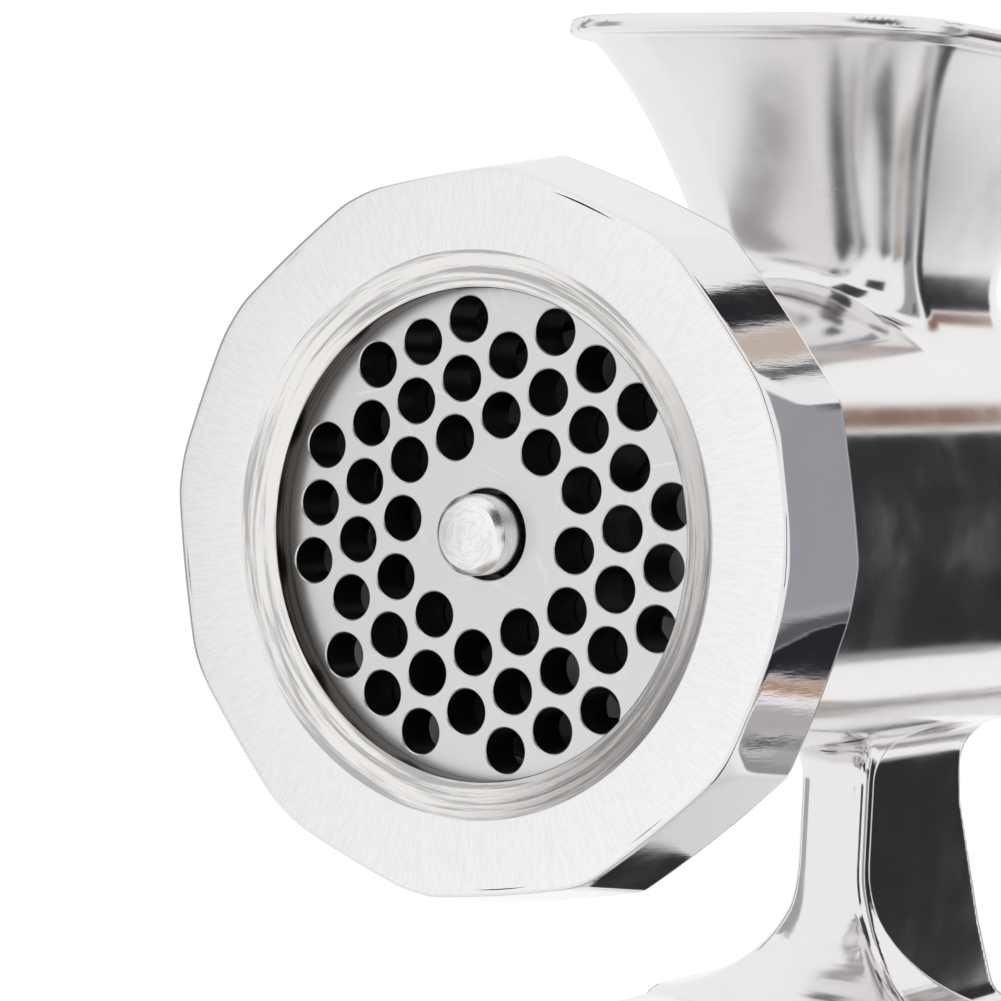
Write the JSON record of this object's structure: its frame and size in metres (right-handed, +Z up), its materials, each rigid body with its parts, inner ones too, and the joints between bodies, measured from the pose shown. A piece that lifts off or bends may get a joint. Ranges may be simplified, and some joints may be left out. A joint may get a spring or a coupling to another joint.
{
  "type": "hand crank meat grinder",
  "caption": "Table-clamp hand crank meat grinder with a flared hopper, perforated plate, scalloped ring nut, feed screw, turned grip and screw clamp.",
  "frame": {"origin": "centre of the clamp foot's contact face, where the grinder stands on the table top", "axes": "+Z up, -Y the way the mince comes out and the clamp opens, X = 0 the plane of symmetry, the crank on the +Y side"},
  "size_m": [0.094, 0.2618, 0.249],
  "materials": {
    "polished_casting": "mirror polished",
    "ring_metal": "polished flats, faced front",
    "screw_casting": "tumbled casting",
    "plate_steel": "ground",
    "knife_steel": "ground",
    "pin_steel": "turned",
    "plated_steel": "bright plated",
    "bronze": "machined",
    "varnished_wood": "varnished",
    "rubber": "matt",
    "nylon": "matt"
  },
  "bodies": {
    "casting": {"body_casting": "polished_casting", "rear_bush": "bronze", "plate_key": "pin_steel", "foot_pad": "rubber", "thrust_washer": "nylon"},
    "plate": {"perforated_plate": "plate_steel"},
    "ring": {"ring_nut": "ring_metal"},
    "drive": {"feed_screw": "screw_casting", "drive_stud": "pin_steel", "knife": "knife_steel", "crank_arm": "polished_casting", "grip_spindle": "plated_steel", "spindle_nut": "plated_steel", "grip_washers": "plated_steel"},
    "grip": {"grip": "varnished_wood"},
    "thumb_washer": {"crank_washer": "plated_steel"},
    "thumb_screw": {"crank_screw": "polished_casting"},
    "pad": {"clamp_pad": "plated_steel", "pad_rubber": "rubber"},
    "screw": {"clamp_screw": "plated_steel"},
    "bar": {"tommy_bar": "plated_steel", "bar_caps": "plated_steel"}
  },
  "joints": [
    {"name": "crank_turn", "type": "hinge", "parent": "casting", "child": "drive", "pos_m": [0, 0, 0.069], "axis": [0, -1, 0], "continuous": true},
    {"name": "grip_spin", "type": "hinge", "parent": "drive", "child": "grip", "pos_m": [0, 0.1, -0.061], "axis": [0, 1, 0], "continuous": true},
    {"name": "plate_draw", "type": "slide", "parent": "casting", "child": "plate", "axis": [0, -1, 0], "range_m": [0, 0.006]},
    {"name": "ring_unscrew", "type": "hinge", "parent": "plate", "child": "ring", "pos_m": [0, -0.077, 0.069], "axis": [0, -1, 0], "range_deg": [-10, 1090]},
    {"name": "washer_draw", "type": "slide", "parent": "drive", "child": "thumb_washer", "axis": [0, 1, 0], "range_m": [0, 0.01]},
    {"name": "thumb_unscrew", "type": "hinge", "parent": "thumb_washer", "child": "thumb_screw", "pos_m": [0, 0.093, 0.069], "axis": [0, 1, 0], "range_deg": [-10, 2890]},
    {"name": "clamp_travel", "type": "slide", "parent": "casting", "child": "pad", "axis": [0, 0, 1], "range_m": [-0.016, 0.022]},
    {"name": "clamp_turn", "type": "hinge", "parent": "pad", "child": "screw", "pos_m": [0, 0, -0.112], "axis": [0, 0, 1], "range_deg": [-2890, 3970]},
    {"name": "bar_slide", "type": "slide", "parent": "screw", "child": "bar", "axis": [1, 0, 0], "range_m": [-0.02, 0.02]}
  ],
  "couplings": [
    {"joint": "ring_unscrew", "follows": "plate_draw", "rad_per_m": 3141.6},
    {"joint": "thumb_unscrew", "follows": "washer_draw", "rad_per_m": 5026.5},
    {"joint": "clamp_turn", "follows": "clamp_travel", "rad_per_m": 3141.6}
  ]
}
